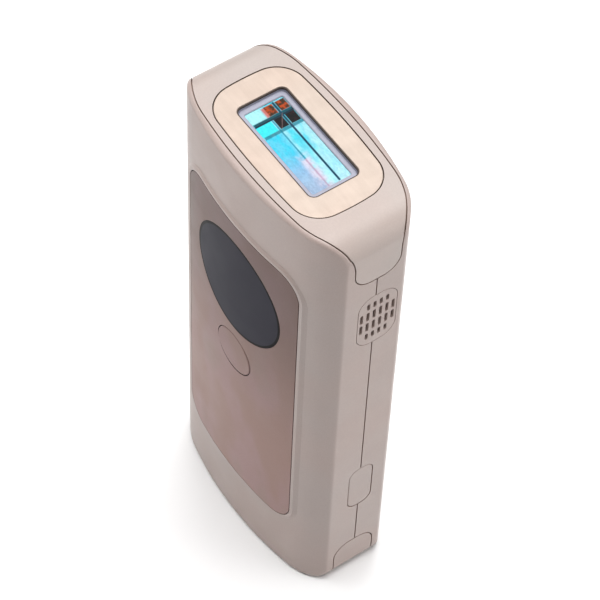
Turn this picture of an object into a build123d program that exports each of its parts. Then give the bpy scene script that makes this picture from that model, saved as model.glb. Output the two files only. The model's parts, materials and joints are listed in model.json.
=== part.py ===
from build123d import *
import os
from math import sqrt

# Hand-held IPL (intense pulsed light) hair remover, millimetres.
# Origin: centre of the underside. +Z up to the flash window, -Y the front with the display.

# ---- Driving dimensions -------------------------------------------------------------------

WIDTH = 67.6              # across the two narrow sides (X)
HEIGHT = 155.5            # underside to contact face (Z)
CROWN_Y = 17.4            # skin of the front and the back on the centre line
SHOULDER_X = 23.5         # where the crowned front turns into the shoulder
SHOULDER_Y = 14.9
SHOULDER_END = (36.5, -4.11)  # the shoulder arc's far end, just outside the narrow side
SIDE_Y = 8.6              # where that arc meets the flat narrow side
TOP_R = 6.8               # corner radii of the front view
BOTTOM_R = 5.0
EDGE_R = 1.2              # rounding where the front and the back meet the sides, top and base
WALL = 2.0
SEAM = 0.34               # width of the visible parting grooves
SEAM_DEPTH = 0.6
PARTING_Y = 0.5           # where the front and rear shells meet

# Both end caps fold down the narrow sides in tabs. Each flare gives the height, from the tab's end,
# where its edges stop being straight, the height where they run into the cap, and the half width there.
TAB_R = 5.0
TOP_TAB_Z = 137.8
TOP_TAB_EDGES = (-6.1, 7.15)
TOP_TAB_FLARE = (6.2, 12.8, 7.6)
BOTTOM_TAB_Z = 14.5
BOTTOM_TAB_EDGES = (-6.15, 6.5)
BOTTOM_TAB_FLARE = (10.0, 13.5, 9.2)

PLATE_X, PLATE_Y, PLATE_R = 46.8, 26.2, 8.0      # contact plate around the flash window
PLATE_BOW = 1.1                                   # how far its four sides bow outwards
PLATE_T = 1.5
WINDOW_X, WINDOW_Y, WINDOW_R = 33.0, 14.8, 2.0
RING_Z = 154.2            # flat ring between the opening's wall and the glass
SIGHT_X, SIGHT_Y, SIGHT_R = 29.2, 11.4, 0.5      # the part of the glass that shows
GLASS_X, GLASS_Y, GLASS_T = 30.6, 12.8, 1.8
GLASS_TOP_Z = 153.8
WALL_Z = 154.75           # the ring's outer edge rises to here, and the seal stands on it
SEAL_T, SEAL_H = 0.35, 0.55
HEAD_Z = 150.5            # underside of the window frame's flange
PAD_Z = 151.9             # underside of the top cap's thick middle

PANEL_W, PANEL_H, PANEL_R = 47.6, 110.4, 7.4     # tinted front panel
PANEL_Z = 79.0
PANEL_RISE = 0.5          # the panel and its lip stand this far above the skin
PANEL_T = 1.5
PANEL_GAP = 0.25
LIP = 1.2                 # flat lip around the panel
LIP_BEVEL = 1.3           # bevel that leads the lip back down to the skin
LIP_FALL = 0.8

DISPLAY_R, DISPLAY_Z = 18.05, 109.5
BUTTON_R, BUTTON_Z = 7.3, 80.6

GRILLE_Y, GRILLE_Z, GRILLE_R = 11.6, 19.8, 4.5   # vent inserts on the narrow sides
GRILLE_AT = (1.4, 120.8)
SLOT_W = 0.95
SLOT_PITCH = 1.9
SLOT_ROWS = ((2.2, 3.6, 6), (6.25, 2.5, 4))      # height from the middle, length, number in the row

MODE_Y, MODE_Z, MODE_R = 7.6, 18.4, 3.2          # push button on the right narrow side
MODE_AT = (0.8, 42.2)
MODE_BOARD_T = 1.2

BOARD_Y = -9.6            # front face of the display board
BOARD_T = 1.2
MAIN_Y = 11.0             # front face of the main board
MAIN_T = 1.6
SCREW_PLACES = ((-18, 28), (18, 28), (-20, 128), (20, 128))
BOSS_R = 3.2
BOSS_SPLIT_Y = -9.0       # where the front and rear bosses meet
SCREW_HEAD_Y = 13.0       # depth, in front of the centre plane, of the seat under each screw head

LAMP_Z = 140.5
LAMP_R = 2.6
LAMP_HALF = 22.5
HOUSING_X, HOUSING_Y = 48.0, 22.6
HOUSING_Z = 133.0
HOUSING_TOP_Z = HEAD_Z - 0.6
HEAD_SCREWS = ((-21.3, -8.3), (21.3, -8.3), (-21.3, 8.3), (21.3, 8.3))
HEAD_SEAT_Z = 144.0

FAN_SIZE = 38.0
FAN_Y0, FAN_Y1 = -7.4, 1.6
FAN_Z = 98.0
FAN_R = 16.0
FAN_COVER_T = 1.0
FAN_SHAFT_R = 1.0

REFLECTOR_X, REFLECTOR_Y = 31.0, 15.0
REFLECTOR_T = 0.5
LAMP_CAP_R = 3.6

JACK_X, JACK_Y = 9.0, 9.0  # DC inlet body, standing in the bottom cap
JACK_Z = 1.2
JACK_H = 13.0
JACK_MOUTH_R = 3.6
JACK_BORE_R = 2.85
JACK_PIN_R = 1.0

BOARD_POSTS = ((-19, 36), (19, 36), (-19, 76), (19, 76))
BOARD_X, BOARD_Z0, BOARD_Z1 = 44.0, 33.0, 78.5

CAPACITOR_R = 9.0
CAPACITOR_AT = (-11.0, 1.2)
CAPACITOR_Z0, CAPACITOR_Z1 = 34.0, 74.0
TRANSFORMER_AT = (9.0, 66.0)

HALF_W = WIDTH / 2
MODE_BOARD_X = HALF_W - 9.0 - MODE_BOARD_T   # inner face of the little board behind the mode button
CROWN_DROP = CROWN_Y - SHOULDER_Y
CROWN_R = (SHOULDER_X**2 + CROWN_DROP**2) / (2 * CROWN_DROP)


def save(builder, label):
    builder.part.label = label
    export_step(builder.part, f"parts/{label}.step")


# ---- Shared outlines ----------------------------------------------------------------------


def plan_section(inset):
    """The crowned front and back and their shoulders in plan, drawn in from the outer skin."""
    with BuildSketch() as section:
        with BuildLine():
            crown = ThreePointArc((-SHOULDER_X, -SHOULDER_Y), (0, -CROWN_Y), (SHOULDER_X, -SHOULDER_Y))
            shoulder = TangentArc(crown @ 1, SHOULDER_END, tangent=crown % 1)
            mirror(shoulder, about=Plane.YZ)
            mirror(about=Plane.XZ)
            closing = Line(SHOULDER_END, (SHOULDER_END[0], -SHOULDER_END[1]))
            mirror(closing, about=Plane.YZ)
        make_face()
        if inset:
            offset(amount=-inset, kind=Kind.INTERSECTION)
    return section.sketch


def crown_drop(x):
    """How far the crowned front falls back at this distance from the centre line."""
    return CROWN_R - sqrt(CROWN_R**2 - x**2)


def handset(inset, edge):
    """The whole handset as one solid, drawn in by inset, with its long edges rounded by edge."""
    with BuildPart() as body:
        with BuildSketch(Plane.XY.offset(inset)):
            add(plan_section(inset))
        extrude(amount=HEIGHT - 2 * inset)
        with BuildSketch(Plane.XZ):
            with Locations((0, HEIGHT / 2)):
                Rectangle(WIDTH - 2 * inset, HEIGHT - 2 * inset)
            fillet(vertices().group_by(Axis.Y)[0], BOTTOM_R - inset)
            fillet(vertices().group_by(Axis.Y)[-1], TOP_R - inset)
        extrude(amount=2 * CROWN_Y, both=True, mode=Mode.INTERSECT)
        if edge:
            rim = [e for e in edges() if abs(e.center().Y) > SIDE_Y - inset - 1
                   and not (e.geom_type == GeomType.LINE and abs(e.center().Y) > SHOULDER_Y - inset - 1)]
            fillet(rim, edge)
    return body.part


def crowned_slab(rise, thickness, half_x):
    """A tall slab that follows the crowned front, standing proud of the skin by rise."""
    front = -CROWN_Y - rise
    edge = front + crown_drop(half_x)
    with BuildPart() as slab:
        with BuildSketch():
            with BuildLine():
                outer = ThreePointArc((-half_x, edge), (0, front), (half_x, edge))
                inner = ThreePointArc((-half_x, edge + thickness), (0, front + thickness),
                                      (half_x, edge + thickness))
                Line(outer @ 0, inner @ 0)
                Line(outer @ 1, inner @ 1)
            make_face()
        extrude(amount=HEIGHT)
    return slab.part


def cap_outline(grow):
    """Plan outline of an end cap: a lens inside the rim that runs off both narrow sides."""
    with BuildSketch() as outline:
        with BuildLine():
            crown = ThreePointArc((0, -15.24), (10, -14.96), (20, -14.1))
            shoulder = TangentArc(crown @ 1, (33.4, -7.75), tangent=crown % 1)
            out = Line(shoulder @ 1, (36, -7.0))
            Line(out @ 1, (36, 0))
            mirror(about=Plane.XZ)
            mirror(about=Plane.YZ)
        make_face()
        if grow:
            offset(amount=grow)
    return outline.sketch


def tab_outline(grow, z_tab, edge_y, flare, way):
    """Side outline of an end cap: a round-cornered tab whose edges flare out; way is 1 up, -1 down."""
    front, rear = edge_y
    straight, root, half = z_tab + way * flare[0], z_tab + way * flare[1], flare[2]
    far = z_tab + way * 40
    with BuildSketch(Plane.YZ) as outline:
        with BuildLine():
            Polyline((front, straight), (front, z_tab), (rear, z_tab), (rear, straight))
            TangentArc((rear, straight), (half, root), tangent=(0, way))
            Polyline((half, root), (30, root), (30, far), (-30, far), (-30, root), (-half, root))
            TangentArc((front, straight), (-half, root), tangent=(0, way))
        make_face()
        fillet(vertices().filter_by(lambda v: abs(v.Y - z_tab) < 0.01), TAB_R)
        if grow:
            offset(amount=grow)
    return outline.sketch


def top_cap_region(grow):
    """The space the top cap takes, from its tabs' ends to past the top of the handset."""
    with BuildPart() as region:
        with BuildSketch(Plane.XY.offset(TOP_TAB_Z - grow)):
            add(cap_outline(grow))
        extrude(amount=HEIGHT - TOP_TAB_Z + grow + 1)
        extrude(tab_outline(grow, TOP_TAB_Z, TOP_TAB_EDGES, TOP_TAB_FLARE, 1), amount=60, both=True,
                mode=Mode.INTERSECT)
    return region.part


def bottom_cap_region(grow):
    """The space the bottom cap takes, from below the handset to its tabs' ends."""
    with BuildPart() as region:
        with BuildSketch(Plane.XY.offset(-1)):
            add(cap_outline(grow))
        extrude(amount=BOTTOM_TAB_Z + grow + 1)
        extrude(tab_outline(grow, BOTTOM_TAB_Z, BOTTOM_TAB_EDGES, BOTTOM_TAB_FLARE, -1), amount=60, both=True,
                mode=Mode.INTERSECT)
    return region.part


def panel_prism(grow, front=30.0):
    """The front panel's outline, grown by grow and run through the front wall."""
    with BuildPart() as prism:
        with BuildSketch(Plane.XZ):
            with Locations((0, PANEL_Z)):
                RectangleRounded(PANEL_W + 2 * grow, PANEL_H + 2 * grow, PANEL_R + grow)
        extrude(amount=front)
    return prism.part


def plate_outline(grow):
    """The contact plate's outline: a rounded rectangle with gently bowed sides."""
    x, y = PLATE_X / 2, PLATE_Y / 2
    bx, by = x - PLATE_BOW, y - PLATE_BOW
    with BuildSketch() as outline:
        with BuildLine():
            top = ThreePointArc((-bx, by), (0, y), (bx, by))
            right = ThreePointArc((bx, by), (x, 0), (bx, -by))
            bottom = ThreePointArc((bx, -by), (0, -y), (-bx, -by))
            ThreePointArc(bottom @ 1, (-x, 0), top @ 0)
        make_face()
        fillet(vertices(), PLATE_R)
        if grow:
            offset(amount=grow)
    return outline.sketch


def side_outline(width, height, radius, grow):
    """A rounded outline with arched ends, for the inserts on the narrow sides."""
    half, top = width / 2 + grow, height / 2 + grow
    arch = 0.5
    with BuildSketch() as outline:
        with BuildLine():
            upper = ThreePointArc((-half, top - arch), (0, top), (half, top - arch))
            lower = ThreePointArc((-half, arch - top), (0, -top), (half, arch - top))
            Line(upper @ 0, lower @ 0)
            Line(upper @ 1, lower @ 1)
        make_face()
        fillet(vertices(), radius + grow)
    return outline.sketch


def side_plug(shape, at, x0, x1):
    """An outline of the narrow side, given in Y and Z, run from x0 to x1."""
    with BuildPart() as plug:
        with BuildSketch(Plane.YZ.offset(x0)):
            with Locations(at):
                add(shape)
        extrude(amount=x1 - x0)
    return plug.part


def mode_board_rib(side):
    """A slotted rib inside one shell that takes an edge of the mode board; side is -1 front, 1 rear."""
    with BuildPart() as rib:
        with Locations((MODE_BOARD_X + MODE_BOARD_T / 2, MODE_AT[0] + side * 8.6, MODE_AT[1])):
            Box(2.8, 9.2, 8.0)
        with Locations((MODE_BOARD_X + MODE_BOARD_T / 2, MODE_AT[0] + side * 4.5, MODE_AT[1])):
            Box(MODE_BOARD_T, 1.0, 8.0, mode=Mode.SUBTRACT)
    return rib.part


# ---- Solids that the casing parts are cut from -------------------------------------------------

outer = handset(0, EDGE_R)
groove_floor = handset(SEAM_DEPTH, EDGE_R - SEAM_DEPTH)
cavity = handset(WALL, 0)
top_region = top_cap_region(SEAM / 2)
bottom_region = bottom_cap_region(SEAM / 2)

with BuildPart() as skin:
    add(outer)
    add(cavity, mode=Mode.SUBTRACT)

with BuildPart() as cap_grooves:
    add(top_cap_region(SEAM))
    add(top_cap_region(0), mode=Mode.SUBTRACT)
    add(bottom_cap_region(SEAM))
    add(bottom_cap_region(0), mode=Mode.SUBTRACT)
    add(groove_floor, mode=Mode.SUBTRACT)

with BuildPart() as side_grooves:
    with Locations((0, PARTING_Y, 0)):
        Box(2 * WIDTH, SEAM, 2 * HEIGHT)
    add(groove_floor, mode=Mode.SUBTRACT)

with BuildPart() as plateau:
    add(crowned_slab(PANEL_RISE, 3.0, 27.5))
    add(panel_prism(LIP + LIP_BEVEL), mode=Mode.INTERSECT)
    lip_face = faces().filter_by(GeomType.CYLINDER).sort_by(Axis.Y)[0]
    chamfer(lip_face.edges(), length=LIP_BEVEL, length2=LIP_FALL, reference=lip_face)
    add(cavity, mode=Mode.SUBTRACT)

grille_outline = side_outline(GRILLE_Y, GRILLE_Z, GRILLE_R, 0)
grille_hole = side_outline(GRILLE_Y, GRILLE_Z, GRILLE_R, SEAM / 2)
grille_flange = side_outline(GRILLE_Y, GRILLE_Z, GRILLE_R, 0.5)
mode_outline = side_outline(MODE_Y, MODE_Z, MODE_R, 0)
mode_hole = side_outline(MODE_Y, MODE_Z, MODE_R, SEAM / 2)

# ---- Casing: two half shells and two end caps ------------------------------------------------

with BuildPart() as casing:
    add(skin.part)
    add(top_region, mode=Mode.SUBTRACT)
    add(bottom_region, mode=Mode.SUBTRACT)
    add(cap_grooves.part, mode=Mode.SUBTRACT)
    add(side_grooves.part, mode=Mode.SUBTRACT)
    add(side_plug(mode_hole, MODE_AT, 30, 40), mode=Mode.SUBTRACT)
    for x0, x1 in ((30, 40), (-40, -30)):
        add(side_plug(grille_hole, GRILLE_AT, x0, x1), mode=Mode.SUBTRACT)

with BuildPart() as front_shell:
    add(casing.part)
    split(bisect_by=Plane.XZ.offset(-PARTING_Y), keep=Keep.TOP)
    add(plateau.part)
    with BuildSketch(Plane.XZ.offset(-BOSS_SPLIT_Y)):
        with Locations(*SCREW_PLACES):
            Circle(BOSS_R)
    extrude(amount=5.6)
    add(mode_board_rib(-1))
    # Pocket for the panel, then the windows behind the display and the flash button.
    add(crowned_slab(PANEL_RISE + 1, PANEL_T + 1, 27.0) & panel_prism(PANEL_GAP), mode=Mode.SUBTRACT)
    with BuildSketch(Plane.XZ.offset(-BOSS_SPLIT_Y - 1)):
        with Locations((0, DISPLAY_Z)):
            Circle(15.9)
        with Locations((0, BUTTON_Z)):
            Circle(8.8)
        with Locations(*SCREW_PLACES):
            Circle(1.4)
    extrude(amount=30, mode=Mode.SUBTRACT)
    with BuildSketch(Plane.XZ.offset(SCREW_HEAD_Y)):
        with Locations(*SCREW_PLACES):
            Circle(2.5)
    extrude(amount=10, mode=Mode.SUBTRACT)
save(front_shell, "front_shell")

with BuildPart() as rear_shell:
    add(casing.part)
    split(bisect_by=Plane.XZ.offset(-PARTING_Y), keep=Keep.BOTTOM)
    for x, z in SCREW_PLACES:
        with BuildSketch(Plane.XZ.offset(-BOSS_SPLIT_Y)):
            with Locations((x, z)):
                Circle(BOSS_R)
        extrude(until=Until.NEXT, dir=(0, 1, 0))
    add(mode_board_rib(1))
    # Four short posts carry the main board.
    for x, z in BOARD_POSTS:
        with BuildSketch(Plane.XZ.offset(-MAIN_Y - MAIN_T)):
            with Locations((x, z)):
                Circle(2.4)
        extrude(until=Until.NEXT, dir=(0, 1, 0))
    with BuildSketch(Plane.XZ.offset(-BOSS_SPLIT_Y)):
        with Locations(*SCREW_PLACES):
            Circle(1.25)
    extrude(amount=-12, mode=Mode.SUBTRACT)
save(rear_shell, "rear_shell")

with BuildPart() as top_cap:
    add(skin.part)
    add(top_region, mode=Mode.INTERSECT)
    add(cap_grooves.part, mode=Mode.SUBTRACT)
    # Thick middle that carries the contact plate and the window frame.
    with BuildSketch(Plane.XY.offset(PAD_Z)):
        RectangleRounded(PLATE_X + 4, PLATE_Y - 1, 6)
    extrude(amount=HEIGHT - WALL - PAD_Z)
    with BuildSketch(Plane.XY.offset(HEIGHT - PLATE_T)):
        add(plate_outline(SEAM * 0.8))
    extrude(amount=PLATE_T, mode=Mode.SUBTRACT)
    with BuildSketch(Plane.XY.offset(PAD_Z)):
        RectangleRounded(WINDOW_X, WINDOW_Y, WINDOW_R)
    extrude(amount=5, mode=Mode.SUBTRACT)
    # Four short pillars meet the lamp housing and take its screws.
    with BuildSketch(Plane.XY.offset(HOUSING_TOP_Z)):
        with Locations(*HEAD_SCREWS):
            Circle(2.0)
    extrude(amount=PAD_Z - HOUSING_TOP_Z)
    with BuildSketch(Plane.XY.offset(HOUSING_TOP_Z)):
        with Locations(*HEAD_SCREWS):
            Circle(1.05)
    extrude(amount=3.0, mode=Mode.SUBTRACT)
save(top_cap, "top_cap")

with BuildPart() as bottom_cap:
    add(skin.part)
    add(bottom_region, mode=Mode.INTERSECT)
    add(cap_grooves.part, mode=Mode.SUBTRACT)
    # Socket that holds the DC inlet, with a mouth in the underside.
    with BuildSketch(Plane.XY.offset(WALL)):
        RectangleRounded(JACK_X + 3, JACK_Y + 3, 1.5)
    extrude(amount=8)
    with BuildSketch(Plane.XY.offset(JACK_Z)):
        Rectangle(JACK_X, JACK_Y)
    extrude(amount=20, mode=Mode.SUBTRACT)
    with BuildSketch():
        Circle(JACK_MOUTH_R)
    extrude(amount=10, mode=Mode.SUBTRACT)
    mouth = edges().filter_by(GeomType.CIRCLE).group_by(Axis.Z)[0].filter_by(lambda e: e.radius < 5)
    chamfer(mouth, 0.5)
save(bottom_cap, "bottom_cap")

with BuildPart() as vent_grille_right:
    add(side_plug(grille_outline, GRILLE_AT, HALF_W - 1.6, HALF_W))
    add(side_plug(grille_flange, GRILLE_AT, HALF_W - WALL - 1.2, HALF_W - WALL))
    add(side_plug(grille_outline, GRILLE_AT, HALF_W - WALL, HALF_W - 1.6))
    for dz, length, count in SLOT_ROWS:
        for side in (-1, 1):
            with BuildSketch(Plane.YZ.offset(HALF_W - 6)):
                with Locations((GRILLE_AT[0], GRILLE_AT[1] + side * dz)):
                    with GridLocations(SLOT_PITCH, 0, count, 1):
                        SlotOverall(length, SLOT_W, rotation=90)
            extrude(amount=10, mode=Mode.SUBTRACT)
save(vent_grille_right, "vent_grille_right")

with BuildPart() as vent_grille_left:
    add(mirror(vent_grille_right.part, about=Plane.YZ))
save(vent_grille_left, "vent_grille_left")

# ---- Front: panel, display and flash button ----------------------------------------------------

with BuildPart() as front_panel:
    add(crowned_slab(PANEL_RISE, PANEL_T, 27.0) & panel_prism(0))
    with BuildSketch(Plane.XZ):
        with Locations((0, DISPLAY_Z)):
            Circle(DISPLAY_R + 0.1)
        with Locations((0, BUTTON_Z)):
            Circle(BUTTON_R + 0.2)
    extrude(amount=30, mode=Mode.SUBTRACT)
save(front_panel, "front_panel")

with BuildPart() as display_lens:
    add(crowned_slab(PANEL_RISE, PANEL_T, 27.0))
    with BuildSketch(Plane.XZ):
        with Locations((0, DISPLAY_Z)):
            Circle(DISPLAY_R)
    extrude(amount=30, mode=Mode.INTERSECT)
save(display_lens, "display_lens")

with BuildPart() as display_diffuser:
    with BuildSketch(Plane.XZ.offset(-BOARD_Y)):
        with Locations((0, DISPLAY_Z)):
            Circle(15.6)
    extrude(amount=5.2)
save(display_diffuser, "display_diffuser")

with BuildPart() as display_board:
    with BuildSketch(Plane.XZ.offset(-BOARD_Y)):
        with Locations((0, 97)):
            RectangleRounded(33, 58, 3)
    extrude(amount=-BOARD_T)
save(display_board, "display_board")

with BuildPart() as flash_button:
    # A slightly crowned cap with a retaining flange and a stem to the switch.
    with BuildSketch(Plane.XZ.offset(15.6)):
        with Locations((0, BUTTON_Z)):
            Circle(BUTTON_R)
    extrude(amount=CROWN_Y + PANEL_RISE - 15.6)
    fillet(faces().sort_by(Axis.Y)[0].edges(), 0.4)
    with BuildSketch(Plane.XZ.offset(14.4)):
        with Locations((0, BUTTON_Z)):
            Circle(BUTTON_R + 1.1)
    extrude(amount=1.2)
    with BuildSketch(Plane.XZ.offset(13.0)):
        with Locations((0, BUTTON_Z)):
            Circle(2.2)
    extrude(amount=1.4)
save(flash_button, "flash_button")

with BuildPart() as flash_plunger:
    with BuildSketch(Plane.XZ.offset(11.0)):
        with Locations((0, BUTTON_Z)):
            Circle(1.6)
    extrude(amount=2.0)
save(flash_plunger, "flash_plunger")

with BuildPart() as flash_switch:
    with BuildSketch(Plane.XZ.offset(-BOARD_Y)):
        with Locations((0, BUTTON_Z)):
            RectangleRounded(6.2, 6.2, 0.5)
    extrude(amount=2.6)
    with BuildSketch(Plane.XZ.offset(10.3)):
        with Locations((0, BUTTON_Z)):
            Circle(1.65)
    extrude(amount=4, mode=Mode.SUBTRACT)
save(flash_switch, "flash_switch")

# ---- Mode button on the right side ---------------------------------------------------------------

with BuildPart() as mode_button:
    add(side_plug(mode_outline, MODE_AT, HALF_W - 3.0, HALF_W))
    fillet(faces().sort_by(Axis.X)[-1].edges(), 0.3)
    add(side_plug(side_outline(MODE_Y, MODE_Z, MODE_R, 0.9), MODE_AT, HALF_W - 3.6, HALF_W - 2.4))
    with BuildSketch(Plane.YZ.offset(HALF_W - 5.0)):
        with Locations(MODE_AT):
            Circle(2.0)
    extrude(amount=1.6)
save(mode_button, "mode_button")

with BuildPart() as mode_plunger:
    with BuildSketch(Plane.YZ.offset(HALF_W - 7.0)):
        with Locations(MODE_AT):
            Circle(1.6)
    extrude(amount=2.0)
save(mode_plunger, "mode_plunger")

with BuildPart() as mode_switch:
    with BuildSketch(Plane.YZ.offset(HALF_W - 9.0)):
        with Locations(MODE_AT):
            RectangleRounded(6.2, 6.2, 0.5)
    extrude(amount=3.2)
    with BuildSketch(Plane.YZ.offset(HALF_W - 7.7)):
        with Locations(MODE_AT):
            Circle(1.65)
    extrude(amount=4, mode=Mode.SUBTRACT)
save(mode_switch, "mode_switch")

with BuildPart() as mode_board:
    with BuildSketch(Plane.YZ.offset(MODE_BOARD_X)):
        with Locations(MODE_AT):
            RectangleRounded(10, 22, 1)
    extrude(amount=MODE_BOARD_T)
save(mode_board, "mode_board")

# ---- Flash head ---------------------------------------------------------------------------------

with BuildPart() as contact_plate:
    with BuildSketch(Plane.XY.offset(HEIGHT - PLATE_T)):
        add(plate_outline(0))
        RectangleRounded(WINDOW_X, WINDOW_Y, WINDOW_R, mode=Mode.SUBTRACT)
    extrude(amount=PLATE_T)
    fillet(faces().sort_by(Axis.Z)[-1].edges(), 0.2)
save(contact_plate, "contact_plate")

with BuildPart() as window_frame:
    with BuildSketch(Plane.XY.offset(HEAD_Z)):
        RectangleRounded(WINDOW_X + 4, WINDOW_Y + 4, WINDOW_R + 0.5)
    extrude(amount=PAD_Z - HEAD_Z)
    with BuildSketch(Plane.XY.offset(PAD_Z)):
        RectangleRounded(WINDOW_X - 0.1, WINDOW_Y - 0.1, WINDOW_R)
    extrude(amount=WALL_Z - PAD_Z)
    with BuildSketch(Plane.XY.offset(RING_Z)):
        RectangleRounded(WINDOW_X - 2.2 * SEAL_T, WINDOW_Y - 2.2 * SEAL_T, WINDOW_R - SEAL_T)
    extrude(amount=WALL_Z - RING_Z, taper=-8, mode=Mode.SUBTRACT)
    with BuildSketch(Plane.XY.offset(HEAD_Z)):
        RectangleRounded(SIGHT_X, SIGHT_Y, SIGHT_R)
    extrude(amount=RING_Z - HEAD_Z, mode=Mode.SUBTRACT)
    sight_rim = [e for e in edges() if abs(e.center().Z - RING_Z) < 0.01
                 and abs(e.center().Y) < SIGHT_Y / 2 + 0.1 and abs(e.center().X) < SIGHT_X / 2 + 0.1]
    chamfer(sight_rim, 0.2)
    # The glass sits in a pocket from below.
    with BuildSketch(Plane.XY.offset(HEAD_Z)):
        Rectangle(GLASS_X, GLASS_Y)
    extrude(amount=GLASS_TOP_Z - HEAD_Z, mode=Mode.SUBTRACT)
save(window_frame, "window_frame")

with BuildPart() as window_seal:
    # Dark seal on the plate's inner wall, thinning upwards.
    with BuildSketch(Plane.XY.offset(WALL_Z)):
        RectangleRounded(WINDOW_X - 0.04, WINDOW_Y - 0.04, WINDOW_R - 0.02)
    extrude(amount=SEAL_H)
    with BuildSketch(Plane.XY.offset(WALL_Z)):
        RectangleRounded(WINDOW_X - 2 * SEAL_T, WINDOW_Y - 2 * SEAL_T, WINDOW_R - SEAL_T)
    extrude(amount=SEAL_H, taper=-8, mode=Mode.SUBTRACT)
save(window_seal, "window_seal")

with BuildPart() as filter_glass:
    with BuildSketch(Plane.XY.offset(GLASS_TOP_Z - GLASS_T)):
        Rectangle(GLASS_X, GLASS_Y)
    extrude(amount=GLASS_T)
save(filter_glass, "filter_glass")

with BuildPart() as head_gasket:
    with BuildSketch(Plane.XY.offset(HEAD_Z - 0.6)):
        RectangleRounded(WINDOW_X + 4, WINDOW_Y + 4, WINDOW_R + 0.5)
        Rectangle(GLASS_X, GLASS_Y + 0.4, mode=Mode.SUBTRACT)
    extrude(amount=0.6)
save(head_gasket, "head_gasket")

with BuildPart() as lamp_housing:
    with BuildSketch(Plane.XY.offset(HOUSING_Z)):
        RectangleRounded(HOUSING_X, HOUSING_Y, 2)
    extrude(amount=HOUSING_TOP_Z - HOUSING_Z)
    with BuildSketch(Plane.XY.offset(HOUSING_Z)):
        Rectangle(REFLECTOR_X, REFLECTOR_Y)
    extrude(amount=30, mode=Mode.SUBTRACT)
    # A channel along the lamp takes its two end caps.
    with BuildSketch(Plane.YZ.offset(-HOUSING_X)):
        with Locations((0, LAMP_Z)):
            Circle(LAMP_CAP_R)
        with Locations((0, LAMP_Z - 10)):
            Rectangle(2 * LAMP_CAP_R, 20)
    extrude(amount=2 * HOUSING_X, mode=Mode.SUBTRACT)
    for radius, z_top in ((1.2, HOUSING_TOP_Z + 1), (2.3, HEAD_SEAT_Z)):
        with BuildSketch(Plane.XY.offset(HOUSING_Z)):
            with Locations(*HEAD_SCREWS):
                Circle(radius)
        extrude(amount=z_top - HOUSING_Z, mode=Mode.SUBTRACT)
save(lamp_housing, "lamp_housing")

with BuildPart() as reflector:
    # A polished trough: parabolic in section, with two flat ends pierced for the lamp.
    with BuildSketch(Plane.YZ.offset(-REFLECTOR_X / 2)):
        with BuildLine():
            bowl = Spline((-6.6, LAMP_Z + 9.4), (-5.4, LAMP_Z + 2.5), (0, LAMP_Z - 4.5),
                          (5.4, LAMP_Z + 2.5), (6.6, LAMP_Z + 9.4))
            Line(bowl @ 0, bowl @ 1)
        make_face()
    extrude(amount=REFLECTOR_X)
    with BuildSketch(Plane.YZ.offset(-REFLECTOR_X / 2 + REFLECTOR_T)):
        with BuildLine():
            inside = Spline((-6.6 + REFLECTOR_T, LAMP_Z + 9.5), (-5.4 + REFLECTOR_T, LAMP_Z + 2.5),
                            (0, LAMP_Z - 4.5 + REFLECTOR_T), (5.4 - REFLECTOR_T, LAMP_Z + 2.5),
                            (6.6 - REFLECTOR_T, LAMP_Z + 9.5))
            Line(inside @ 0, inside @ 1)
        make_face()
    extrude(amount=REFLECTOR_X - 2 * REFLECTOR_T, mode=Mode.SUBTRACT)
    with BuildSketch(Plane.YZ.offset(-REFLECTOR_X)):
        with Locations((0, LAMP_Z)):
            Circle(LAMP_R + 0.3)
    extrude(amount=2 * REFLECTOR_X, mode=Mode.SUBTRACT)
save(reflector, "reflector")

with BuildPart() as flash_lamp:
    with BuildSketch(Plane.YZ.offset(-LAMP_HALF)):
        with Locations((0, LAMP_Z)):
            Circle(LAMP_R)
    extrude(amount=2 * LAMP_HALF)
    fillet(edges().filter_by(GeomType.CIRCLE), 0.8)
save(flash_lamp, "flash_lamp")

with BuildPart() as lamp_end_caps:
    for x0 in (REFLECTOR_X / 2 + 0.4, -HOUSING_X / 2 + 0.4):
        with BuildSketch(Plane.YZ.offset(x0)):
            with Locations((0, LAMP_Z)):
                Circle(LAMP_CAP_R - 0.05)
                Circle(LAMP_R, mode=Mode.SUBTRACT)
        extrude(amount=HOUSING_X / 2 - REFLECTOR_X / 2 - 0.8)
save(lamp_end_caps, "lamp_end_caps")

with BuildPart() as heat_sink:
    with BuildSketch(Plane.XY.offset(HOUSING_Z - 2.4)):
        with Locations((0, 2)):
            Rectangle(30, 18)
    extrude(amount=2.4)
    with BuildSketch(Plane.XY.offset(HOUSING_Z - 10.4)):
        with Locations((0, 2)):
            with GridLocations(0, 2.8, 1, 7):
                Rectangle(30, 1.1)
    extrude(amount=8.0)
save(heat_sink, "heat_sink")

with BuildPart() as trigger_wire:
    with BuildSketch(Plane.YZ.offset(-14)):
        with Locations((0, LAMP_Z - LAMP_R - 0.25)):
            Circle(0.25)
    extrude(amount=28)
save(trigger_wire, "trigger_wire")

with BuildPart() as head_screws:
    with BuildSketch(Plane.XY.offset(HEAD_SEAT_Z - 1.4)):
        with Locations(*HEAD_SCREWS):
            Circle(2.0)
    extrude(amount=1.4)
    with BuildSketch(Plane.XY.offset(HEAD_SEAT_Z)):
        with Locations(*HEAD_SCREWS):
            Circle(1.0)
    extrude(amount=8.0)
    with BuildSketch(Plane.XY.offset(HEAD_SEAT_Z - 1.4)):
        with Locations(*HEAD_SCREWS):
            RegularPolygon(0.9, 6)
    extrude(amount=0.8, mode=Mode.SUBTRACT)
save(head_screws, "head_screws")

# ---- Cooling fan: a flat radial blower that breathes from the back and blows up -----------------

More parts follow.
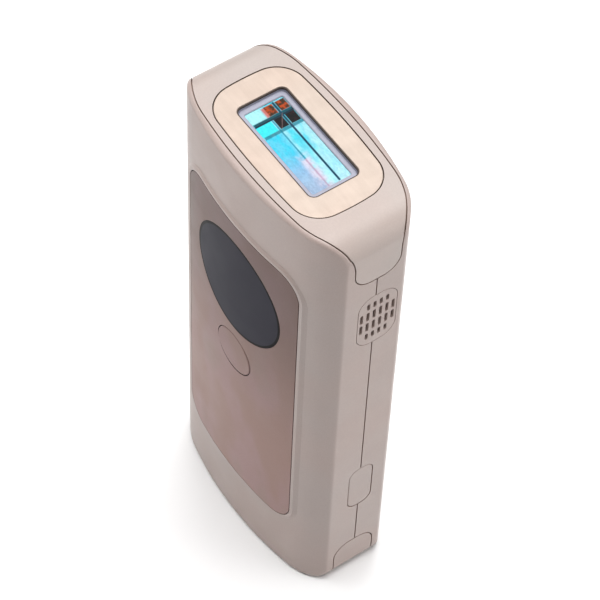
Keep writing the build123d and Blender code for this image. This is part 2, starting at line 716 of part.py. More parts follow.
with BuildPart() as fan_frame:
    with BuildSketch(Plane.XZ.offset(-FAN_Y0)):
        with Locations((0, FAN_Z)):
            RectangleRounded(FAN_SIZE, FAN_SIZE, 3)
    extrude(amount=FAN_Y0 - FAN_Y1 + FAN_COVER_T)
    with BuildSketch(Plane.XZ.offset(-FAN_Y0 - FAN_COVER_T)):
        with Locations((0, FAN_Z)):
            Circle(FAN_R + 0.8)
        with Locations((4, FAN_Z + FAN_SIZE / 2)):
            Rectangle(25, FAN_SIZE)
    extrude(amount=-30, mode=Mode.SUBTRACT)
    with BuildSketch(Plane.XZ.offset(-FAN_Y0)):
        with Locations((0, FAN_Z)):
            Circle(FAN_SHAFT_R + 0.05)
    extrude(amount=-5, mode=Mode.SUBTRACT)
save(fan_frame, "fan_frame")

with BuildPart() as fan_cover:
    with BuildSketch(Plane.XZ.offset(-FAN_Y1 + FAN_COVER_T)):
        with Locations((0, FAN_Z)):
            RectangleRounded(FAN_SIZE, FAN_SIZE, 3)
            Circle(11.5, mode=Mode.SUBTRACT)
    extrude(amount=-FAN_COVER_T)
save(fan_cover, "fan_cover")

with BuildPart() as fan_rotor:
    with BuildSketch(Plane.XZ.offset(5.8)):
        with Locations((0, FAN_Z)):
            Circle(FAN_R - 0.4)
    extrude(amount=-0.7)
    with BuildSketch(Plane.XZ.offset(5.8)):
        with Locations((0, FAN_Z)):
            Circle(7.5)
    extrude(amount=-5.8)
    fillet(faces().sort_by(Axis.Y)[-1].edges(), 0.8)
    with BuildSketch(Plane.XZ.offset(5.2)):
        with Locations((0, FAN_Z)):
            with PolarLocations(11.4, 11):
                Rectangle(8.6, 0.8, rotation=24)
    extrude(amount=-5.0)
save(fan_rotor, "fan_rotor")

with BuildPart() as fan_shaft:
    with BuildSketch(Plane.XZ.offset(5.8)):
        with Locations((0, FAN_Z)):
            Circle(FAN_SHAFT_R)
    extrude(amount=1.4)
save(fan_shaft, "fan_shaft")

# ---- Electronics ---------------------------------------------------------------------------------

with BuildPart() as main_board:
    with BuildSketch(Plane.XZ.offset(-MAIN_Y)):
        with Locations((0, (BOARD_Z0 + BOARD_Z1) / 2)):
            RectangleRounded(BOARD_X, BOARD_Z1 - BOARD_Z0, 1.5)
    extrude(amount=-MAIN_T)
save(main_board, "main_board")

with BuildPart() as capacitor:
    with BuildSketch(Plane.XY.offset(CAPACITOR_Z0)):
        with Locations(CAPACITOR_AT):
            Circle(CAPACITOR_R)
    extrude(amount=CAPACITOR_Z1 - CAPACITOR_Z0)
    fillet(edges().filter_by(GeomType.CIRCLE), 1.0)
save(capacitor, "capacitor")

with BuildPart() as capacitor_cradle:
    with BuildSketch(Plane.XY.offset(CAPACITOR_Z0 + 4)):
        with Locations((CAPACITOR_AT[0], MAIN_Y - 3.5)):
            Rectangle(2 * CAPACITOR_R - 1, 7.0)
        with Locations(CAPACITOR_AT):
            Circle(CAPACITOR_R, mode=Mode.SUBTRACT)
    extrude(amount=CAPACITOR_Z1 - CAPACITOR_Z0 - 8)
save(capacitor_cradle, "capacitor_cradle")

with BuildPart() as transformer_core:
    with BuildSketch(Plane.XZ.offset(-MAIN_Y)):
        with Locations(TRANSFORMER_AT):
            Rectangle(17, 18)
            with GridLocations(12, 0, 2, 1):
                Rectangle(4.0, 12, mode=Mode.SUBTRACT)
    extrude(amount=9)
save(transformer_core, "transformer_core")

with BuildPart() as transformer_winding:
    with BuildSketch(Plane.XZ.offset(-MAIN_Y + 1)):
        with Locations(TRANSFORMER_AT):
            RectangleRounded(15.6, 11.6, 1)
            Rectangle(8, 11.6, mode=Mode.SUBTRACT)
    extrude(amount=9.5)
save(transformer_winding, "transformer_winding")

with BuildPart() as power_switch:
    # Three-legged transistor, tab against the board.
    with BuildSketch(Plane.XZ.offset(-MAIN_Y)):
        with Locations((8.0, 47.5)):
            Rectangle(10, 9)
        with Locations((8.0, 53.2)):
            Rectangle(10, 2.4)
            Circle(0.8, mode=Mode.SUBTRACT)
    extrude(amount=1.2)
    with BuildSketch(Plane.XZ.offset(-MAIN_Y + 1.2)):
        with Locations((8.0, 47.5)):
            Rectangle(10, 9)
    extrude(amount=3.2)
    with BuildSketch(Plane.XZ.offset(-MAIN_Y)):
        with Locations((8.0, 41.0)):
            with GridLocations(2.54, 0, 3, 1):
                Rectangle(0.9, 4.2)
    extrude(amount=0.6)
save(power_switch, "power_switch")

with BuildPart() as board_components:
    # Chips, a choke and small capacitors, each a separate solid on the board.
    for x, z, w, h, t in ((-12, 35.6, 7, 3, 0.7), (-11, 76.3, 8, 3, 1.2), (5.5, 35.4, 2.4, 3, 1.4)):
        with BuildSketch(Plane.XZ.offset(-MAIN_Y)):
            with Locations((x, z)):
                Rectangle(w, h)
        extrude(amount=t)
    for x, z, r, h in ((18.2, 47.5, 3.0, 7.0), (17.2, 54.2, 2.5, 6.0), (15.6, 41.2, 2.0, 5.0)):
        with BuildSketch(Plane.XZ.offset(-MAIN_Y)):
            with Locations((x, z)):
                Circle(r)
        extrude(amount=h)
save(board_components, "board_components")

with BuildPart() as dc_jack:
    with BuildSketch(Plane.XY.offset(JACK_Z)):
        Rectangle(JACK_X, JACK_Y)
    extrude(amount=JACK_H)
    with BuildSketch(Plane.XY.offset(JACK_Z)):
        Circle(JACK_BORE_R)
    extrude(amount=JACK_H - 3, mode=Mode.SUBTRACT)
save(dc_jack, "dc_jack")

with BuildPart() as dc_jack_pin:
    with BuildSketch(Plane.XY.offset(JACK_Z + 0.8)):
        Circle(JACK_PIN_R)
    extrude(amount=JACK_H - 3 - 0.8)
    fillet(edges().group_by(Axis.Z)[0], 0.4)
save(dc_jack_pin, "dc_jack_pin")


def insulated_wire(points, bend, radius=0.6):
    """A round wire along straight runs joined by arcs of one radius."""
    with BuildPart() as wire:
        with BuildLine() as route:
            FilletPolyline(*points, radius=bend)
        with BuildSketch(Plane(origin=route.line @ 0, z_dir=route.line % 0)):
            Circle(radius)
        sweep(path=route.line)
    return wire.part


with BuildPart() as jack_leads:
    for x in (1.0, 3.4):
        add(insulated_wire([(x, 0, JACK_Z + JACK_H), (x, 0, 36.0), (x, MAIN_Y, 36.0)], 4.0))
save(jack_leads, "jack_leads")

with BuildPart() as lamp_leads:
    for side in (-1, 1):
        add(insulated_wire([(side * 20.5, MAIN_Y, 69), (side * 20.5, 5.5, 69), (side * 26.8, 5.5, 80),
                            (side * 26.8, 5.5, LAMP_Z - 8.5), (side * 27.4, 0, LAMP_Z),
                            (side * LAMP_HALF, 0, LAMP_Z)], 1.8))
save(lamp_leads, "lamp_leads")

with BuildPart() as shell_screws:
    with BuildSketch(Plane.XZ.offset(SCREW_HEAD_Y)):
        with Locations(*SCREW_PLACES):
            Circle(2.3)
    extrude(amount=1.1)
    with BuildSketch(Plane.XZ.offset(SCREW_HEAD_Y)):
        with Locations(*SCREW_PLACES):
            Circle(1.2)
    extrude(amount=-14)
    with BuildSketch(Plane.XZ.offset(SCREW_HEAD_Y + 0.5)):
        with Locations(*SCREW_PLACES):
            RegularPolygon(1.0, 6)
    extrude(amount=1, mode=Mode.SUBTRACT)
save(shell_screws, "shell_screws")
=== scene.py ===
import json
import bpy
from mathutils import Color, Matrix, Vector


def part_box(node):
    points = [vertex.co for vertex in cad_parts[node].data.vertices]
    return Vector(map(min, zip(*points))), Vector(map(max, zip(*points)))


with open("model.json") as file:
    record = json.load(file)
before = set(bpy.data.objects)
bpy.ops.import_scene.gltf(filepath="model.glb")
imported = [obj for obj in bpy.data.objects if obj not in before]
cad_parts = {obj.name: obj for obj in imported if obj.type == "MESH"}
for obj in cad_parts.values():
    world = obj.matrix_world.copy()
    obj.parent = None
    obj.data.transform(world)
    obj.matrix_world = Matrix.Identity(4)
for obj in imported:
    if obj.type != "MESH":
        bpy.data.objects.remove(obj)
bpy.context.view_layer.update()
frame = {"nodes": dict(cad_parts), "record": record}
nodes = frame["nodes"]

MM = 0.001

# Linear base colours of the two shells and of the end caps.
SHELL = (0.378, 0.313, 0.289)
CAP = (0.405, 0.35, 0.324)

lens_low, lens_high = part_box("display_lens")
DISPLAY_CENTRE_Z = (lens_low.z + lens_high.z) / 2
DISPLAY_RADIUS = (lens_high.x - lens_low.x) / 2
DISPLAY_BORDER = 0.0007

# Places where a colour changes, in millimetres as Finish.axis gives them.
capacitor_low, capacitor_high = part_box("capacitor")
CAPACITOR_X = (capacitor_low.x + capacitor_high.x) / 2 / MM
SLEEVE_STRIPE = 2.3
LEADS_PART_X = 2.2
# Heights over which painted shade darkens the panel toward the top.
PANEL_SHADE_Z = (50, 132)
LAMP_ENDS_X = (12.5, 17.0)

# ---- Camera ---------------------------------------------------------------------------------

CAMERA_AT = Vector((321.15, -239.45, 651.92)) * MM
LOOK = Vector((-0.46310, 0.34970, -0.81440))
CAMERA_RIGHT = Vector((0.57041, 0.82088, 0.02812))

# In millimetres, as Blender's lens settings are.
SENSOR_WIDTH = 36
FOCAL_LENGTH = 158.976


def make_camera():
    back = -LOOK.normalized()
    right = (CAMERA_RIGHT - back * CAMERA_RIGHT.dot(back)).normalized()
    up = back.cross(right)
    data = bpy.data.cameras.new("camera")
    data.lens = FOCAL_LENGTH
    data.sensor_width = SENSOR_WIDTH
    data.clip_start = 0.01
    data.clip_end = 20
    camera = bpy.data.objects.new("camera", data)
    camera.matrix_world = Matrix((right, up, back)).transposed().to_4x4()
    camera.location = CAMERA_AT
    bpy.context.scene.collection.objects.link(camera)
    bpy.context.scene.camera = camera


# ---- Studio ---------------------------------------------------------------------------------

FLOOR_SIZE = 6
FLOOR_GAP = 0.0002
FLOOR_GREY = 0.92
AMBIENT = 0.1
LIT_POINT = Vector((0, 0, 0.08))

# Each softbox: name, centre, side in metres, power in watts. All of them face LIT_POINT.
SOFTBOXES = (
    ("top", (0, 0, 1.5), 1.3, 30),
    ("right", (1.1, 1.1, 0.44), 0.9, 10.5),
    ("left", (-1.2, -1.0, 0.42), 0.9, 8.5),
    ("back", (-0.76, 0.7, 1.24), 0.9, 6.5),
)


def make_floor():
    bpy.ops.mesh.primitive_plane_add(size=FLOOR_SIZE, location=(0, 0, -FLOOR_GAP))
    floor = bpy.context.object
    floor.name = "floor"
    material = bpy.data.materials.new("floor")
    material.use_nodes = True
    shader = material.node_tree.nodes["Principled BSDF"]
    shader.inputs["Base Color"].default_value = (FLOOR_GREY, FLOOR_GREY, FLOOR_GREY, 1)
    shader.inputs["Roughness"].default_value = 0.9
    floor.data.materials.append(material)


def softbox(name, at, side, power):
    data = bpy.data.lights.new(name, "AREA")
    data.shape = "SQUARE"
    data.size = side
    data.energy = power
    light = bpy.data.objects.new(name, data)
    light.location = at
    light.rotation_euler = (LIT_POINT - Vector(at)).to_track_quat("-Z", "Y").to_euler()
    bpy.context.scene.collection.objects.link(light)


def make_studio():
    bpy.context.scene.view_settings.view_transform = "Standard"
    make_floor()
    world = bpy.data.worlds.new("studio")
    world.use_nodes = True
    background = world.node_tree.nodes["Background"]
    background.inputs["Color"].default_value = (1, 1, 1, 1)
    background.inputs["Strength"].default_value = AMBIENT
    bpy.context.scene.world = world
    for box in SOFTBOXES:
        softbox(*box)


# ---- Materials ------------------------------------------------------------------------------

AO_SAMPLES = 6

# What moulded plastic's base colour is multiplied by in its mottling, in its seams for painted shade, and on
# its edges for wear and a painted highlight.
WARMER = (1.03, 0.985, 0.97)
GROOVE_SHADE = (0.6, 0.48, 0.408)
EDGE_WEAR_AND_HIGHLIGHT = 1.25


def tone(red, green, blue):
    """A colour given as 0 to 255 screen values, as the linear numbers that shaders take."""
    return tuple(Color((red / 255, green / 255, blue / 255)).from_srgb_to_scene_linear())


def four(value):
    """Three numbers as the four that a colour socket takes; a socket as it is."""
    return value if isinstance(value, bpy.types.NodeSocket) else (*value, 1.0)


class Finish:
    """One material, built node by node around a Principled shader."""

    def __init__(self, name, **values):
        self.material = bpy.data.materials.new(name)
        self.material.use_nodes = True
        self.tree = self.material.node_tree
        self.shader = self.tree.nodes["Principled BSDF"]
        self.place = self.node("ShaderNodeTexCoord").outputs["Object"]
        self.set(**values)

    def node(self, kind, inputs=None, **settings):
        made = self.tree.nodes.new(kind)
        for key, value in settings.items():
            setattr(made, key, value)
        for key, value in (inputs or {}).items():
            self.join(value, made.inputs[key])
        return made

    def join(self, value, socket):
        """Links another node's output to a socket, or sets the socket to a plain value."""
        if isinstance(value, bpy.types.NodeSocket):
            self.tree.links.new(value, socket)
        else:
            socket.default_value = value

    def set(self, **values):
        for key, value in values.items():
            self.join(value, self.shader.inputs[key.replace("_", " ")])

    def vector(self, how, a, b):
        return self.node("ShaderNodeVectorMath", {0: a, 1: b}, operation=how).outputs[0]

    def maths(self, how, a, b=0.0):
        return self.node("ShaderNodeMath", {0: a, 1: b}, operation=how).outputs[0]

    def scaled(self, size, stretch=(1, 1, 1)):
        """Coordinates in which size metres are one unit, after each axis is stretched."""
        return self.vector("MULTIPLY", self.place, Vector(stretch) / size)

    def axis(self, letter):
        """The place along one axis, in millimetres."""
        return self.node("ShaderNodeSeparateXYZ", {0: self.scaled(MM)}).outputs[letter]

    def noise(self, size, detail=3.0, stretch=(1, 1, 1)):
        """Blobs about size metres across, from 0 to 1."""
        return self.node("ShaderNodeTexNoise", {"Vector": self.scaled(size, stretch), "Scale": 1.0,
                                                "Detail": detail}).outputs["Fac"]

    def cells(self, size, stretch=(1, 1, 1), **settings):
        """Distance to the nearest cell's point, or to its edge, for cells about size metres across."""
        return self.node("ShaderNodeTexVoronoi", {"Vector": self.scaled(size, stretch), "Scale": 1.0},
                         **settings).outputs["Distance"]

    def span(self, value, low, high, out_low=0.0, out_high=1.0):
        """A value's stretch from low to high, eased onto out_low to out_high and held beyond it."""
        return self.node("ShaderNodeMapRange", {"Value": value, "From Min": low, "From Max": high,
                                                "To Min": out_low, "To Max": out_high},
                         interpolation_type="SMOOTHSTEP").outputs["Result"]

    def mix(self, factor, a, b, how="MIX"):
        """Colour a blended toward colour b by factor."""
        made = self.node("ShaderNodeMix", data_type="RGBA", blend_type=how)
        self.join(factor, made.inputs[0])
        self.join(four(a), made.inputs[6])
        self.join(four(b), made.inputs[7])
        return made.outputs[2]

    def dimmed(self, base, gain):
        """A colour multiplied by a gain."""
        grey = self.node("ShaderNodeCombineColor", {0: gain, 1: gain, 2: gain}).outputs[0]
        return self.mix(1.0, base, grey, "MULTIPLY")

    def shaded(self, base, low, high, size, detail=3.0, stretch=(1, 1, 1)):
        """A colour made lighter and darker, from low to high times, by noise."""
        return self.dimmed(base, self.span(self.noise(size, detail, stretch), 0.3, 0.7, low, high))

    def gloss(self, roughness, spread=0.05, size=0.011, detail=5.0):
        """Roughness with handling smudges."""
        smudges = self.noise(size, detail)
        self.set(Roughness=self.span(smudges, 0.3, 0.7, roughness - spread, roughness + spread))

    def bump(self, height, depth):
        """Relief of depth metres between height 0 and 1, on top of any relief set before."""
        made = self.node("ShaderNodeBump", {"Height": height, "Distance": depth, "Strength": 1.0})
        before = self.shader.inputs["Normal"].links
        if before:
            self.join(before[0].from_socket, made.inputs["Normal"])
        self.set(Normal=made.outputs["Normal"])

    def shade_in_groove(self, base, groove_shade_colour, reach=0.0008):
        """Painted shade: darkens the colour where other surfaces stand closer than reach, as in seams and
        slots.
        """
        open_ground = self.node("ShaderNodeAmbientOcclusion", {"Distance": reach},
                                samples=AO_SAMPLES).outputs["AO"]
        return self.mix(self.span(open_ground, 0.3, 0.85), groove_shade_colour, base)

    def on_edge(self, base, worn_and_highlit, reach=0.0005, amount=0.5):
        """Lightens the colour along outward edges: wear where handling rubs it, and a painted highlight."""
        inside = self.node("ShaderNodeAmbientOcclusion", {"Distance": reach}, samples=AO_SAMPLES,
                           inside=True, only_local=True).outputs["AO"]
        return self.mix(self.span(inside, 0.35, 0.8, amount, 0.0), base, worn_and_highlit)


def times(colour, gains):
    return tuple(value * gain for value, gain in zip(colour, gains))


def moulded(name, base, roughness, grain=0.00025, depth=0.000003, **values):
    """Moulded plastic: faint flow mottling, spark-eroded grain, smudges, painted shade in the seams, and
    edges lightened by wear and a painted highlight.
    """
    finish = Finish(name, **values)
    ground = finish.mix(finish.span(finish.noise(0.028, 4.0), 0.35, 0.65), base, times(base, WARMER))
    ground = finish.shaded(ground, 0.975, 1.02, 0.0004, 2.0)
    # Edges lightened by wear and by a painted highlight.
    ground = finish.on_edge(ground, tuple(min(1.0, EDGE_WEAR_AND_HIGHLIGHT * value) for value in base), amount=0.35)
    # Painted shade in seams and slots.
    finish.set(Base_Color=finish.shade_in_groove(ground, times(base, GROOVE_SHADE)))
    finish.gloss(roughness)
    finish.bump(finish.noise(grain, 2.0), depth)
    return finish.material


def lacquered_panel():
    """Tinted lacquer: rose and olive drift over brown, a fine pearl grain, painted shade darkening it toward
    the top, and painted shade in its grooves.
    """
    finish = Finish("panel", Specular_IOR_Level=0.08)
    rose, olive, brown = tone(151, 124, 121), tone(142, 123, 114), tone(146, 119, 111)
    drift = finish.span(finish.noise(0.016, 3.0, (1, 1, 0.45)), 0.42, 0.62)
    ground = finish.mix(drift, brown, rose)
    clouds = finish.span(finish.noise(0.021, 3.0, (1.3, 1, 0.6)), 0.5, 0.68, 0.0, 0.7)
    ground = finish.mix(clouds, ground, olive)
    ground = finish.shaded(ground, 0.94, 1.05, 0.00016, 1.0)
    # Painted shade, darker toward the top.
    ground = finish.dimmed(ground, finish.span(finish.axis("Z"), *PANEL_SHADE_Z, 1.04, 0.56))
    # Painted shade in the grooves.
    finish.set(Base_Color=finish.shade_in_groove(ground, tone(58, 40, 34), 0.0006))
    finish.gloss(0.36, 0.04)
    finish.bump(finish.noise(0.0004, 2.0), 0.0000015)
    return finish.material


def champagne_plate():
    """Anodised aluminium: bead-blasted grain, a faint lengthwise rub, a brighter cut edge that is partly a
    painted highlight, and painted shade in its seams.
    """
    finish = Finish("plate", Metallic=0.5)
    pale, warm, cut_edge_and_highlight = (0.445, 0.368, 0.314), (0.452, 0.36, 0.303), (0.72, 0.62, 0.54)
    ground = finish.mix(finish.span(finish.noise(0.03, 2.0), 0.35, 0.65), pale, warm)
    ground = finish.shaded(ground, 0.97, 1.02, 0.00018, 2.0)
    ground = finish.shaded(ground, 0.975, 1.02, 0.0011, 3.0, (0.12, 1, 1))
    # The cut edge, lightened partly as a painted highlight.
    ground = finish.on_edge(ground, cut_edge_and_highlight, 0.0003, 0.8)
    # Painted shade in the seams.
    finish.set(Base_Color=finish.shade_in_groove(ground, tone(120, 92, 74), 0.0005))
    finish.gloss(0.5, 0.04, 0.004, 4.0)
    finish.bump(finish.noise(0.00014, 2.0), 0.000002)
    finish.bump(finish.noise(0.0006, 2.0, (0.08, 1, 1)), 0.000001)
    return finish.material


def metal(name, base, roughness, brush=(1, 1, 1), size=0.0004, tarnish=0.85, depth=0.000002):
    """Bare metal with drawing marks along one axis and uneven tarnish."""
    finish = Finish(name, Metallic=1.0)
    ground = finish.shaded(base, 0.93, 1.04, size, 3.0, brush)
    ground = finish.shaded(ground, tarnish, 1.03, 0.006, 5.0)
    finish.set(Base_Color=ground)
    finish.gloss(roughness, 0.3 * roughness, 0.003, 4.0)
    finish.bump(finish.noise(size, 2.0, brush), depth)
    return finish.material


def rubber(name, base, roughness=0.62):
    """Soft rubber with a fine matt skin and a little lint."""
    finish = Finish(name, Specular_IOR_Level=0.35)
    ground = finish.shaded(base, 0.85, 1.15, 0.0008, 4.0)
    lint = finish.span(finish.cells(0.0011, (1, 1, 0.3)), 0.02, 0.06, 1.0, 0.0)
    finish.set(Base_Color=finish.mix(finish.maths("MULTIPLY", lint, 0.25), ground, (0.5, 0.48, 0.46)))
    finish.gloss(roughness, 0.06)
    finish.bump(finish.noise(0.0002, 3.0), 0.000006)
    return finish.material


def laminate():
    """Circuit board: green solder mask over tracks, bare gold pads, white marking lines."""
    finish = Finish("circuit", Coat_Weight=0.4, Coat_Roughness=0.2)
    mask = finish.shaded(tone(18, 84, 52), 0.85, 1.12, 0.003, 4.0)
    track = finish.span(finish.cells(0.0032, feature="DISTANCE_TO_EDGE"), 0.05, 0.075, 1.0, 0.0)
    mask = finish.mix(finish.maths("MULTIPLY", track, 0.8), mask, tone(52, 128, 74))
    pad = finish.span(finish.cells(0.0026), 0.13, 0.16, 1.0, 0.0)
    squares = finish.cells(0.0075, distance="CHEBYCHEV")
    outer, inner = finish.span(squares, 0.44, 0.46), finish.span(squares, 0.48, 0.5, 1.0, 0.0)
    ground = finish.mix(finish.maths("MULTIPLY", outer, inner), mask, tone(225, 230, 225))
    finish.set(Base_Color=finish.mix(pad, ground, tone(214, 178, 96)))
    finish.set(Metallic=finish.maths("MULTIPLY", pad, 0.9))
    finish.gloss(0.35, 0.06, 0.002)
    finish.bump(track, 0.00003)
    finish.bump(pad, 0.00002)
    return finish.material


WIRE_PITCH = 0.0004
ONE_BAND_PER_UNIT = 0.3142


def wound_copper():
    """Enamelled copper wire laid in close turns, painted darker between the turns as shade and lighter on
    them as a highlight.
    """
    finish = Finish("winding", Metallic=0.85)
    wave = finish.node("ShaderNodeTexWave", {"Vector": finish.scaled(WIRE_PITCH), "Scale": ONE_BAND_PER_UNIT,
                                             "Distortion": 0.4, "Detail": 1.0},
                       wave_type="BANDS", bands_direction="Z").outputs["Fac"]
    # Painted shade between the turns and painted highlight on them.
    shaded_turns = finish.mix(wave, tone(92, 40, 18), tone(206, 118, 62))
    finish.set(Base_Color=finish.shaded(shaded_turns, 0.85, 1.1, 0.0015, 4.0))
    finish.gloss(0.3, 0.06, 0.001)
    finish.bump(wave, 0.0001)
    return finish.material


def shrink_sleeve():
    """The capacitor's printed sleeve: dark film with a pale stripe front and back, shrunk unevenly."""
    finish = Finish("sleeve", Coat_Weight=0.3, Coat_Roughness=0.15)
    film = finish.shaded(tone(34, 40, 66), 0.85, 1.15, 0.002, 4.0)
    off_centre = finish.maths("ABSOLUTE", finish.maths("SUBTRACT", finish.axis("X"), CAPACITOR_X))
    stripe = finish.span(off_centre, SLEEVE_STRIPE - 0.1, SLEEVE_STRIPE + 0.1, 1.0, 0.0)
    finish.set(Base_Color=finish.mix(stripe, film, tone(196, 200, 208)))
    finish.gloss(0.34, 0.06, 0.004)
    finish.bump(finish.noise(0.002, 3.0, (1, 1, 0.3)), 0.00003)
    return finish.material


def ferrite():
    """Sintered ferrite: near-black, coarse and chipped."""
    finish = Finish("ferrite")
    finish.set(Base_Color=finish.shaded(tone(58, 56, 60), 0.7, 1.25, 0.0006, 4.0))
    finish.gloss(0.62, 0.1, 0.001)
    finish.bump(finish.noise(0.0003, 4.0), 0.00002)
    return finish.material


def quartz_lamp():
    """Quartz tube with sputtered ends around its electrodes."""
    finish = Finish("lamp", Transmission_Weight=0.75, IOR=1.46)
    ends = finish.span(finish.maths("ABSOLUTE", finish.axis("X")), *LAMP_ENDS_X)
    haze = finish.shaded((0.93, 0.95, 0.97), 0.96, 1.0, 0.004, 4.0)
    finish.set(Base_Color=finish.mix(ends, haze, tone(96, 92, 92)))
    finish.gloss(0.07, 0.04, 0.002)
    return finish.material


def light_guide():
    """Milky light guide with faint moulding mottle."""
    finish = Finish("diffuser", Subsurface_Weight=0.2, Subsurface_Scale=0.001)
    finish.set(Base_Color=finish.shaded(tone(228, 230, 234), 0.96, 1.02, 0.004, 4.0))
    finish.gloss(0.5, 0.05)
    finish.bump(finish.noise(0.0005, 2.0), 0.000004)
    return finish.material


def smoked_display():
    """Smoked acrylic with a black printed border, hairline scratches and fingerprints."""
    finish = Finish("display", Specular_IOR_Level=0.02)
    centre = (0.0, 0.0, DISPLAY_CENTRE_Z)
    flat = finish.vector("MULTIPLY", finish.vector("SUBTRACT", finish.place, centre), (1, 0, 1))
    radius = finish.node("ShaderNodeVectorMath", {0: flat}, operation="LENGTH").outputs["Value"]
    face = finish.shaded(tone(48, 47, 56), 0.96, 1.04, 0.02, 3.0)
    border_from = DISPLAY_RADIUS - DISPLAY_BORDER
    border = finish.span(radius, border_from - 0.0001, border_from + 0.0001)
    finish.set(Base_Color=finish.mix(border, face, tone(16, 13, 13)))
    finish.gloss(0.34, 0.03, 0.009)
    finish.bump(finish.noise(0.00012, 2.0, (1, 1, 0.05)), 0.0000004)
    return finish.material


# Places on the coated glass, in millimetres from its middle.
PAST_END = 16.0
PAST_SIDE = 8.0
WIDE_JOINT_X0, WIDE_JOINT_X1 = -10.9, -9.7
WIDE_JOINT_Y0 = -5.5
THIN_JOINT_X = (-6.25, -5.3)
LONG_JOINT_Y = (2.2, 2.78)
FAINT_JOINT_Y = (-0.95, -0.5)
TEAL_TURNS_PINK_X = 4.5
RUST_X = (-14.2, WIDE_JOINT_X0)
EMBER_X = (-9.8, -6.3)
TILE_ROWS_Y = ((-0.4, 2.1), (2.9, 5.6))
COATING_TINT = (0.5, 0.62, 0.64)


def coated_filter():
    """The flash filter: dichroic coating over the lamp's cavity, laid in tiles with dark joints, with
    painted reflections of the studio in its colours.
    """
    finish = Finish("filter", Specular_IOR_Level=0.12)
    place = finish.scaled(MM)
    along = finish.axis("X")

    def inside(x_range, y_range, soft):
        """1 inside a rectangle and 0 outside it, across an edge soft millimetres to either side."""
        (x0, x1), (y0, y1) = x_range, y_range
        centre = ((x0 + x1) / 2, (y0 + y1) / 2, 0)
        half = ((x1 - x0) / 2, (y1 - y0) / 2, 1000)
        offset = finish.node("ShaderNodeVectorMath", {0: finish.vector("SUBTRACT", place, centre)},
                             operation="ABSOLUTE").outputs[0]
        beyond = finish.node("ShaderNodeSeparateXYZ", {0: finish.vector("SUBTRACT", offset, half)})
        furthest = finish.maths("MAXIMUM", beyond.outputs["X"], beyond.outputs["Y"])
        return finish.span(furthest, -soft, soft, 1.0, 0.0)

    def patch(under, over, x_range, y_range, soft=0.12, amount=1.0):
        return finish.mix(finish.maths("MULTIPLY", inside(x_range, y_range, soft), amount), under, over)

    # Painted reflection of the studio: a sky-like field, cyan toward -X and paler toward +X, with a bluer
    # band along the -Y side and a pink blush toward +X.
    streak = finish.span(finish.noise(0.0035, 4.0, (0.5, 1, 1)), 0.36, 0.62)
    cyan = finish.mix(finish.span(along, -6, 13), tone(46, 222, 244), tone(186, 240, 252))
    cyan = finish.mix(finish.maths("MULTIPLY", streak, 0.62), cyan, tone(234, 252, 255))
    low_band = finish.mix(finish.span(along, -1, 8), tone(6, 216, 246), tone(156, 196, 234))
    low_band = finish.mix(finish.span(along, 5, 13), low_band, tone(186, 190, 220))
    low_band = finish.mix(finish.maths("MULTIPLY", streak, 0.3), low_band, tone(196, 224, 246))
    ground = finish.mix(inside((-5.4, PAST_END), (-PAST_SIDE, -0.9), 0.4), cyan, low_band)
    blush = finish.maths("MULTIPLY", finish.span(finish.noise(0.0028, 3.0), 0.3, 0.55),
                         inside((3.0, PAST_END), (-2.2, 0.5), 1.0))
    ground = finish.mix(blush, ground, tone(246, 220, 236))
    ground = patch(ground, tone(70, 244, 250), (WIDE_JOINT_X1, -6.2), (-PAST_SIDE, -1.1))
    ground = patch(ground, tone(196, 250, 250), (-PAST_END, WIDE_JOINT_X0), (-PAST_SIDE, -1.4), 0.3)

    # The faint joints.
    teal_run, pink_run = (WIDE_JOINT_X1, TEAL_TURNS_PINK_X), (TEAL_TURNS_PINK_X, 14.4)
    ground = patch(ground, tone(0, 150, 176), teal_run, FAINT_JOINT_Y, 0.16, 0.9)
    ground = patch(ground, tone(206, 140, 170), pink_run, (-0.95, -0.55), 0.25, 0.75)
    ground = patch(ground, tone(10, 128, 146), THIN_JOINT_X, (-5.4, PAST_SIDE), 0.18, 0.85)

    # Two rust and two near-black tiles, and a painted glow beside the rust ones.
    rust = finish.mix(finish.span(finish.noise(0.0009, 3.0), 0.38, 0.6), tone(214, 74, 10), tone(74, 42, 18))
    ember = finish.mix(finish.span(finish.noise(0.0012, 3.0), 0.48, 0.68), tone(2, 2, 4), tone(44, 10, 18))
    ground = patch(ground, tone(236, 96, 76), (-14.1, WIDE_JOINT_X0), (-1.2, 0), 0.35, 0.9)
    for row in TILE_ROWS_Y:
        ground = patch(ground, rust, RUST_X, row, 0.2)
        ground = patch(ground, ember, EMBER_X, row, 0.15)

    # The dark joints, and a slanted hairline over the -Y one of the near-black tiles.
    across = finish.maths("ADD", finish.axis("Y"), 4.35)
    off_line = finish.maths("ABSOLUTE", finish.maths("ADD", finish.maths("MULTIPLY", along, 0.68), across))
    hairline = finish.maths("MULTIPLY", finish.span(off_line, 0.08, 0.22, 0.7, 0.0),
                            inside((-10.4, -6.3), (-0.3, 2.9), 0.1))
    wide_joint_y = (WIDE_JOINT_Y0, PAST_SIDE)
    ground = patch(ground, tone(6, 84, 96), (WIDE_JOINT_X0, WIDE_JOINT_X1), wide_joint_y, 0.18)
    ground = patch(ground, tone(2, 40, 58), (-10.15, WIDE_JOINT_X1), wide_joint_y)
    ground = patch(ground, tone(2, 66, 90), (-14.4, 14.3), LONG_JOINT_Y, 0.13)
    ground = finish.mix(hairline, ground, tone(126, 92, 90))
    ground = finish.mix(1.0, ground, COATING_TINT, "MULTIPLY")
    finish.set(Base_Color=finish.shaded(ground, 0.9, 1.08, 0.0005, 3.0, (0.6, 1, 1)))
    finish.gloss(0.16, 0.05, 0.003)
    return finish.material


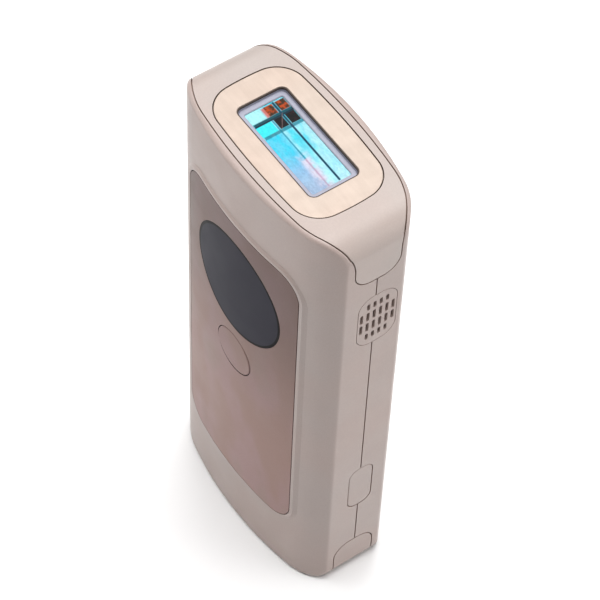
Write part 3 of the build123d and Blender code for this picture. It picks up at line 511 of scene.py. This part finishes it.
def insulated():
    """PVC lead insulation with a faint extrusion grain, red on the right and black on the left."""
    finish = Finish("wire", Coat_Weight=0.1)
    red, black = tone(168, 30, 26), tone(26, 26, 28)
    right_hand = finish.span(finish.axis("X"), LEADS_PART_X - 0.1, LEADS_PART_X + 0.1)
    ground = finish.mix(right_hand, black, red)
    finish.set(Base_Color=finish.shaded(ground, 0.88, 1.1, 0.0008, 3.0, (1, 1, 0.2)))
    finish.gloss(0.42, 0.05, 0.002)
    finish.bump(finish.noise(0.0003, 2.0, (1, 1, 0.1)), 0.000004)
    return finish.material


def window_surround():
    """Heat-resistant plastic around the glass, cool grey with a fine matt grain and painted shade in its
    recesses.
    """
    finish = Finish("window")
    ground = finish.shaded(tone(148, 149, 164), 0.96, 1.04, 0.0012, 4.0)
    # Painted shade in the recesses.
    finish.set(Base_Color=finish.shade_in_groove(ground, tone(96, 92, 104), 0.0006))
    finish.gloss(0.45, 0.05, 0.003)
    finish.bump(finish.noise(0.0002, 2.0), 0.000003)
    return finish.material


MATERIALS = {
    "shell": moulded("shell", SHELL, 0.42, Specular_IOR_Level=0.35),
    "cap": moulded("cap", CAP, 0.42, Specular_IOR_Level=0.35),
    "panel": lacquered_panel(),
    "plate": champagne_plate(),
    "window": window_surround(),
    "filter": coated_filter(),
    "display": smoked_display(),
    "diffuser": light_guide(),
    "circuit": laminate(),
    "black_plastic": moulded("black_plastic", tone(44, 44, 47), 0.45, 0.0003, 0.000006),
    "ceramic_plastic": moulded("ceramic_plastic", tone(214, 208, 198), 0.6, 0.0004, 0.000008),
    "silicone": rubber("silicone", tone(150, 150, 152)),
    "seal": rubber("seal", tone(66, 54, 48)),
    "mirror_metal": metal("mirror_metal", (0.92, 0.93, 0.95), 0.1, (0.05, 1, 1), 0.0005, 0.95, 0.000001),
    "lamp": quartz_lamp(),
    "steel": metal("steel", (0.62, 0.61, 0.6), 0.32, (1, 1, 0.2), 0.0002),
    "alloy": metal("alloy", (0.8, 0.8, 0.81), 0.4, (1, 1, 0.06), 0.0005),
    "sleeve": shrink_sleeve(),
    "ferrite": ferrite(),
    "winding": wound_copper(),
    "wire": insulated(),
}


def dress_nodes():
    """Gives every CAD node the finish of its material slot in the record."""
    for part in frame["record"]["subparts"]:
        for place in nodes[part["node"]].material_slots:
            place.material = MATERIALS[part["material_slot"]]


make_camera()
make_studio()
dress_nodes()
